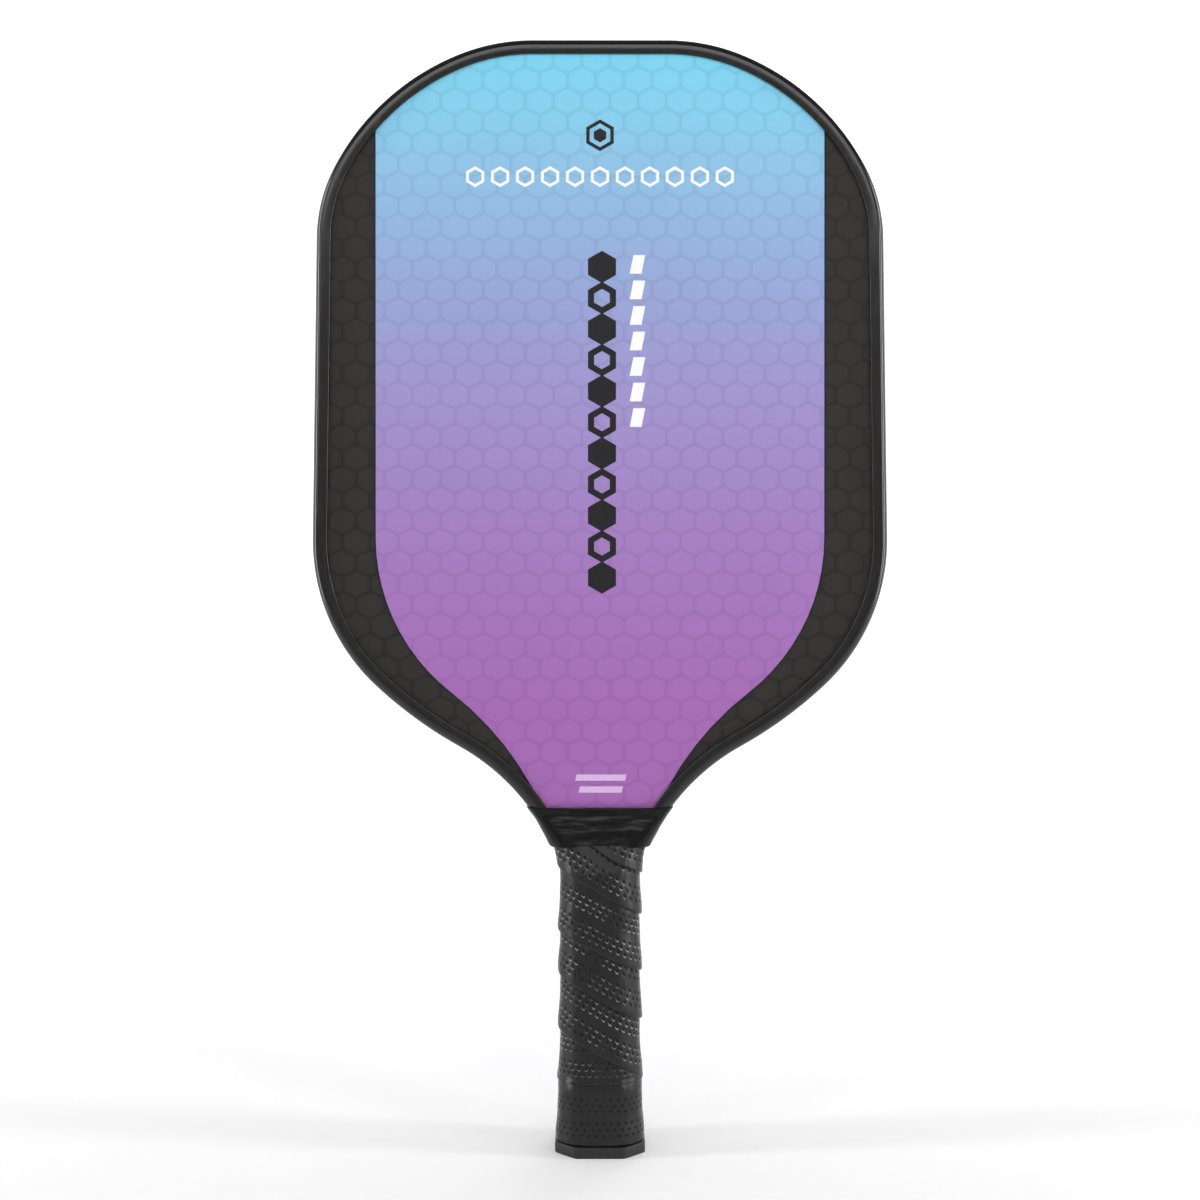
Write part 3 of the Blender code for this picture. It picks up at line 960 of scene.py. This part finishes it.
@dataclass
class EdgeGuard:
    """Glossy U-shaped strip around the head."""

    outline: HeadOutline
    web: float = 1.2 * MM
    reach: float = 5.5 * MM
    shoulder_reach: float = 2.6 * MM
    shoulder_drop: float = 3.4 * MM
    crown_dip: float = 0.2 * MM
    tip_round: float = 0.35 * MM
    shoulder_steps: int = 9
    crown_steps: int = 6
    tip_steps: int = 4
    end_height: float = 111.3 * MM
    bond_gap: float = 0.3 * MM

    def half_profile(self) -> list[Point]:
        """Upper half of the section, from the outermost edge over the lip and back inside.

        Returns:
            Its points, as the distance inwards and the Y.
        """
        lip_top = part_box("edge_guard")[1].y
        lip_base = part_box("back_graphic_film")[1].y + self.bond_gap
        points = [(self.shoulder_reach * (1 - c), lip_top - self.shoulder_drop * (1 - s))
                  for s, c in quarter_turn(self.shoulder_steps)]
        tip_start = self.reach - self.tip_round
        for step in range(1, self.crown_steps + 1):
            share = step / self.crown_steps
            points.append((self.shoulder_reach + share * (tip_start - self.shoulder_reach),
                           lip_top - self.crown_dip * share * share))
        tip_top = points[-1][1]
        points += [(tip_start + self.tip_round * s, tip_top - self.tip_round * (1 - c))
                   for s, c in quarter_turn(self.tip_steps)[1:]]
        return points + [(self.reach, lip_base), (self.web, lip_base)]

    def build(self) -> None:
        """Sweep the section around the head and cap its ends."""
        half = self.half_profile()
        profile = half + [(inwards, -y) for inwards, y in reversed(half)]
        right = [station for station in self.outline.stations() if station[1] > self.end_height]
        path = [(-x, z, -heading) for x, z, heading in reversed(right[1:])] + right

        rows = []
        for x, z, heading in path:
            angle = radians(heading)
            rows.append([Vector((x - inwards * sin(angle), y, z - inwards * cos(angle)))
                         for inwards, y in profile])
        shell = wrapped_grid(rows)
        close_ends(shell)
        material = GlossyBlack("guard_plastic_gloss").make()
        finish_piece("edge_guard_strip", shell, material, "edge_guard")


@dataclass
class ThroatBand:
    """Stretched vinyl band over the guard's ends and the top of the grip."""

    outline: HeadOutline
    thickness: float = 0.7 * MM
    rolled_edge: float = 0.25 * MM
    wrinkle: float = 0.22 * MM
    bottom_bevel: float = 4.1 * MM
    top_bevel: float = 2.0 * MM
    crispness: float = 22.0
    depth_ease: float = 1.25
    edge_share: float = 0.06
    wrinkle_waves: Colour = (90.0, 90.0, 260.0)
    columns: int = 200
    rows: int = 40
    low: Vector = field(default_factory=lambda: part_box("throat_band")[0])
    high: Vector = field(default_factory=lambda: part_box("throat_band")[1])
    guard_depth: float = field(default_factory=lambda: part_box("edge_guard")[1].y)

    def point(self, angle: float, along: float) -> Vector:
        """Point of the band.

        Args:
            angle: Direction, in radians from +X.
            along: Share of the way up.

        Returns:
            The point.
        """
        height = self.low.z + along * (self.high.z - self.low.z)
        half_width = self.outline.half_width(height, -self.thickness)
        bottom_depth, top_depth = self.high.y, self.guard_depth + self.thickness
        half_depth = max(top_depth, bottom_depth + along * self.depth_ease * (top_depth - bottom_depth))
        bevel = self.bottom_bevel + along * (self.top_bevel - self.bottom_bevel)
        radius = section_radius(angle, half_width, half_depth, bevel, self.crispness)
        point = polar(radius, angle, height)
        fade = sqrt(sin(pi * clamp(along)))
        pull = noise.noise(point * Vector(self.wrinkle_waves))
        edge = max(0.0, abs(along - 0.5) * 2 - 1 + self.edge_share) / self.edge_share
        return point + polar(self.wrinkle * fade * pull - self.rolled_edge * edge * edge, angle)

    def build(self) -> None:
        """Loft the band down the throat, wrinkle it and turn its edges in."""
        angles = circle(self.columns, -pi / 2)
        shell = wrapped_grid([[self.point(angle, row / self.rows) for angle in angles]
                              for row in range(self.rows + 1)])
        rim = [edge for edge in shell.edges if edge.is_boundary]
        turned = bmesh.ops.extrude_edge_only(shell, edges=rim)
        for item in turned["geom"]:
            if isinstance(item, BMVert):
                inwards = Vector((item.co.x, item.co.y, 0)).normalized()
                item.co -= inwards * (self.thickness / 2)
        edges = [item for item in turned["geom"] if isinstance(item, BMEdge) and item.is_boundary]
        bmesh.ops.bridge_loops(shell, edges=edges)
        bmesh.ops.recalc_face_normals(shell, faces=shell.faces)
        material = GlossyBlack("band_vinyl_gloss", (0.0015, 0.0015, 0.0015), 0.2, 0.06, 0.25,
                               1.1 * MM, 70.0, (0.5, 1.0, 1.5)).make()
        finish_piece("throat_band_vinyl", shell, material, "throat_band")


@dataclass
class GripWrap:
    """Spiral-wound cushioned strip: each turn laps over the one below it."""

    outline: HeadOutline
    right_seams: tuple[float, ...] = (4.3, 25.6, 26.6, 46.0, 63.1, 82.8, 97.4, 114.0)
    left_seams: tuple[float, ...] = (4.3, 25.2, 43.6, 63.0, 78.0, 100.5, 114.5, 125.0)
    level_turns: int = 2
    lap_step: float = 0.9 * MM
    lap_fade: float = 8.0 * MM
    edge_round: float = 0.7 * MM
    edge_drop: float = 0.5
    tuck: float = 0.12 * MM
    thickness: float = 1.25 * MM
    top_thin: float = 0.75 * MM
    hidden_top: float = 1.2 * MM
    sway: float = 0.16 * MM
    sway_around: float = 1.3
    sway_along: float = 160.0
    mean_radius: float = 14.2 * MM
    bevel: float = 5.6 * MM
    bond_gap: float = 0.3 * MM
    skirt_lift: float = 0.75 * MM
    skirt_blend: float = 3.0 * MM
    scale_full_height: float = 99.0 * MM
    scale_taper: float = 4.9 * MM
    inside_gap: float = 1.2 * MM
    tuck_length: float = 1.2 * MM
    top_thin_length: float = 9.0 * MM
    row_bias: float = 1.5
    crispness: float = 13.0
    columns: int = 240
    rows_per_turn: int = 18
    holes_around: int = 38
    top: float = field(default_factory=lambda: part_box("grip_wrap")[1].z)
    scale: Vector = field(default_factory=lambda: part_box("handle_scale_back")[1])
    skirt_top: float = field(default_factory=lambda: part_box("butt_cap")[1].z)

    def seam(self, turn: int, around: float) -> float:
        """Height of the lower edge of a turn, which runs down the front and on down the back.

        Args:
            turn: Number of the turn from the butt.
            around: Share of the way round from the left side over the front.

        Returns:
            The height.
        """
        level = turn < self.level_turns
        left = self.left_seams[turn if level or around <= 0.5 else turn - 1]
        share = (1 + cos(tau * around)) / 2
        return (self.right_seams[turn] + (left - self.right_seams[turn]) * share) * MM

    def handle(self, height: float) -> tuple[float, float, float]:
        """Section of what is wrapped.

        Args:
            height: Height above the butt.

        Returns:
            Its half width, half depth and bevel.
        """
        half_width = self.outline.half_width(height, self.inside_gap)
        taper = clamp((height - self.scale_full_height) / (self.scale.z - self.scale_full_height))
        half_depth = self.scale.y - taper * self.scale_taper
        over_skirt = self.skirt_lift * (1 - clamp((height - self.skirt_top) / self.skirt_blend))
        return half_width + over_skirt, half_depth + over_skirt + self.bond_gap, self.bevel

    def lift(self, above: float, below_next: float) -> float:
        """How far a turn stands off what is wrapped.

        Args:
            above: Height above its own lower edge.
            below_next: Height left below the next turn's lower edge.

        Returns:
            The lift, largest just above the lower edge, where it laps over the turn below.
        """
        lapped = self.lap_step * exp(-((above / self.lap_fade) ** 2))
        rounded = min(above / self.edge_round, 1.0)
        edge = self.edge_drop * self.lap_step * (1 - sqrt(max(0.0, 1 - (1 - rounded) ** 2)))
        tucked = self.tuck * rounded * exp(-((below_next / self.tuck_length) ** 2))
        return self.thickness + lapped - edge - tucked

    def point(self, around: float, turn: int, step: int) -> tuple[Vector, float]:
        """Point of the wrapped surface.

        Args:
            around: Share of the way round from the left side over the front.
            turn: Number of the turn from the butt.
            step: Row within the turn, the last one being tucked under the next turn's edge.

        Returns:
            The point, and its distance above the turn's own lower edge along the strip's width.
        """
        share = (step / (self.rows_per_turn - 1)) ** self.row_bias
        start, end = self.seam(turn, around), self.seam(turn + 1, around)
        height = min(start + share * (end - start), self.top + self.hidden_top)
        above = max(height - start, 0.0)
        angle = tau * around + pi
        bare = section_radius(angle, *self.handle(height), self.crispness)
        thin = self.top_thin * clamp((height - self.top) / self.top_thin_length + 1)
        sway = self.sway * noise.noise(polar(self.sway_around, angle, height * self.sway_along))
        radius = bare + self.lift(above, max(end - height, 0.0)) - thin + sway
        rise = (self.left_seams[turn] - self.right_seams[turn]) * MM / (2 * self.mean_radius)
        slant = cos(atan(rise)) if around <= 0.5 and turn >= self.level_turns else 1.0
        return polar(radius, angle, height), above * slant

    def build(self) -> None:
        """Lay the turns, map their sheet coordinates and close the sleeve."""
        turns = len(self.right_seams) - 1
        rows = turns * self.rows_per_turn - 1
        around_length = tau * self.mean_radius
        shell = bmesh.new()
        bmesh.ops.create_grid(shell, x_segments=self.columns, y_segments=rows, size=0.5)
        sheet = shell.loops.layers.uv.new("sheet")
        for vertex in shell.verts:
            around = vertex.co.x + 0.5
            row = round((vertex.co.y + 0.5) * rows)
            vertex.co, above = self.point(around, row // self.rows_per_turn, row % self.rows_per_turn)
            for loop in vertex.link_loops:
                loop[sheet].uv = (around * around_length, above)
        bmesh.ops.remove_doubles(shell, verts=shell.verts, dist=0.004 * MM)
        close_ends(shell)
        material = GripLeather(around_length, self.holes_around).make()
        finish_piece("grip_wrap_strip", shell, material, "grip_wrap", 50.0)


@dataclass
class ButtCap:
    """Lipped octagonal cup with softened edges and a sunk end panel."""

    columns: int = 160
    crispness: float = 60.0
    edge_round: float = 0.55 * MM
    lip_height: float = 4.0 * MM
    panel_inset: float = 3.2 * MM
    panel_depth: float = 0.5 * MM
    skirt_inset: float = 2.4 * MM
    edge_steps: int = 4
    panel_chamfer: float = 0.4 * MM
    bevel: float = 7.1 * MM

    def profile(self) -> list[Point]:
        """Section of the cap, from the end panel to the top of the skirt.

        Returns:
            Its points, as the inset from the lip and the height.
        """
        skirt_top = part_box("butt_cap")[1].z
        turn = quarter_turn(self.edge_steps)
        return [(self.panel_inset + self.panel_chamfer, self.panel_depth), (self.panel_inset, 0.0),
                *((self.edge_round * (1 - s), self.edge_round * (1 - c)) for s, c in turn),
                *((self.edge_round * (1 - c), self.lip_height - self.edge_round * (1 - s))
                  for s, c in turn),
                (self.skirt_inset, self.lip_height), (self.skirt_inset, skirt_top)]

    def build(self) -> None:
        """Loft the cap and close its end."""
        low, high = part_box("butt_cap")
        section = [(section_radius(angle, high.x, high.y, self.bevel, self.crispness), angle)
                   for angle in circle(self.columns)]
        shell = wrapped_grid([[polar(radius - inset, angle, low.z + height) for radius, angle in section]
                              for inset, height in self.profile()])
        close_ends(shell)
        finish_piece("butt_cap_moulding", shell, CapPlastic().make(), "butt_cap")


@dataclass
class HandleScales:
    """Foam blocks under the wrap, which keep their CAD meshes."""

    def build(self) -> None:
        """Dress the two blocks."""
        material = PlainStock("scale_foam_dense", (0.30, 0.25, 0.17), (0.22, 0.18, 0.12), 700.0).make()
        for node in ("handle_scale_front", "handle_scale_back"):
            redress(node, material)


@dataclass(frozen=True)
class Softbox:
    """Rectangular area light."""

    name: str
    place: Colour
    size: Point
    watts: float

    def add(self, target: Vector) -> None:
        """Add the light to the scene.

        Args:
            target: Point that it faces.
        """
        lamp = bpy.data.lights.new(self.name, "AREA")
        lamp.shape = "RECTANGLE"
        lamp.size, lamp.size_y = self.size
        lamp.energy = self.watts
        holder = add_object(self.name, lamp)
        holder.location = self.place
        holder.rotation_euler = (target - holder.location).to_track_quat("-Z", "Y").to_euler()


@dataclass
class Studio:
    """Pale floor and backdrop that glow, soft lights and the camera."""

    camera_distance: float = 0.594
    camera_height: float = 0.1942
    lens: float = 50.0
    sensor: float = 36.0
    floor_columns: int = 96
    floor_rings: tuple[float, ...] = (0.0, 0.4, 1.2)
    floor_radius: float = 2.4
    wall_radius: float = 3.4
    wall_height: float = 2.6
    curve_steps: int = 10
    floor_colour: Colour = (0.9, 0.9, 0.9)
    # Painted light: the floor and wall glow from near_glow at the front to far_glow at the back.
    near_glow: float = 0.02
    far_glow: float = 0.66
    glow_from: float = -0.6
    glow_to: float = 1.6
    world_strength: float = 0.22
    lit_height: float = 0.22
    lights: tuple[Softbox, ...] = (
        Softbox("key_softbox", (0.0, -1.5, 0.93), (1.7, 0.5), 5.6),
        Softbox("left_softbox", (-1.0, -0.85, 0.7), (0.3, 0.8), 1.5),
        Softbox("right_softbox", (1.05, -0.8, 0.35), (0.16, 0.6), 3.3),
        Softbox("left_strip", (-0.8, -0.12, 0.3), (0.1, 0.9), 3.4),
        Softbox("right_strip", (0.8, -0.12, 0.3), (0.1, 0.9), 3.4),
        Softbox("back_softbox", (0.5, 1.4, 1.0), (0.9, 0.6), 4.4))

    def build_floor(self) -> None:
        """Lay a round floor whose rim curves up into a low pale wall, painted with a glow that is faint
        near the front and bright towards the back.
        """
        rise = self.wall_radius - self.floor_radius
        profile = [(radius, 0.0) for radius in self.floor_rings]
        profile += [(self.floor_radius + rise * s, rise * (1 - c))
                    for s, c in quarter_turn(self.curve_steps)]
        profile.append((self.wall_radius, self.wall_height))

        sketch = Sketch("studio_paper")
        # Painted light: the floor and wall glow, faintly near the front and brightly towards the back, as
        # though lit.
        _, y, _ = sketch.split(sketch.point)
        share = sketch.smooth_step(y, self.glow_from, self.glow_to)
        glow = sketch.mix(share, (self.near_glow,) * 3, (self.far_glow,) * 3)
        paper = sketch.dress(Base_Color=self.floor_colour, Roughness=0.9, Emission_Color=glow,
                             Emission_Strength=1.0)
        bowl = wrapped_grid([[polar(radius, angle, height) for angle in circle(self.floor_columns)]
                             for radius, height in profile])
        add_mesh("studio_floor", bowl, paper)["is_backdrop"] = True

    def build(self) -> None:
        """Set the floor, the lights, the world and the camera."""
        self.build_floor()
        for light in self.lights:
            light.add(Vector((0.0, 0.0, self.lit_height)))
        world = bpy.data.worlds.new("studio_world")
        world.use_nodes = True
        sky = world.node_tree.nodes["Background"].inputs
        sky["Color"].default_value = (1.0, 1.0, 1.0, 1.0)
        sky["Strength"].default_value = self.world_strength
        bpy.context.scene.world = world
        bpy.context.scene.view_settings.view_transform = "Standard"
        lens = bpy.data.cameras.new("camera")
        lens.lens = self.lens
        lens.sensor_width = self.sensor
        camera = add_object("camera", lens)
        camera.location = (0.0, -self.camera_distance, self.camera_height)
        camera.rotation_euler = (pi / 2, 0.0, 0.0)
        bpy.context.scene.camera = camera


def main() -> None:
    """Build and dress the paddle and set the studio."""
    logging.basicConfig(level=logging.INFO, format="%(name)s %(message)s")
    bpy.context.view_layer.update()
    outline = HeadOutline()
    assemblies = (HeadPanel(), EdgeGuard(outline), HandleScales(), ButtCap(), GripWrap(outline),
                  ThroatBand(outline), Studio())
    for assembly in assemblies:
        log.info("building %s", type(assembly).__name__)
        assembly.build()


if __name__ == "__main__":
    main()
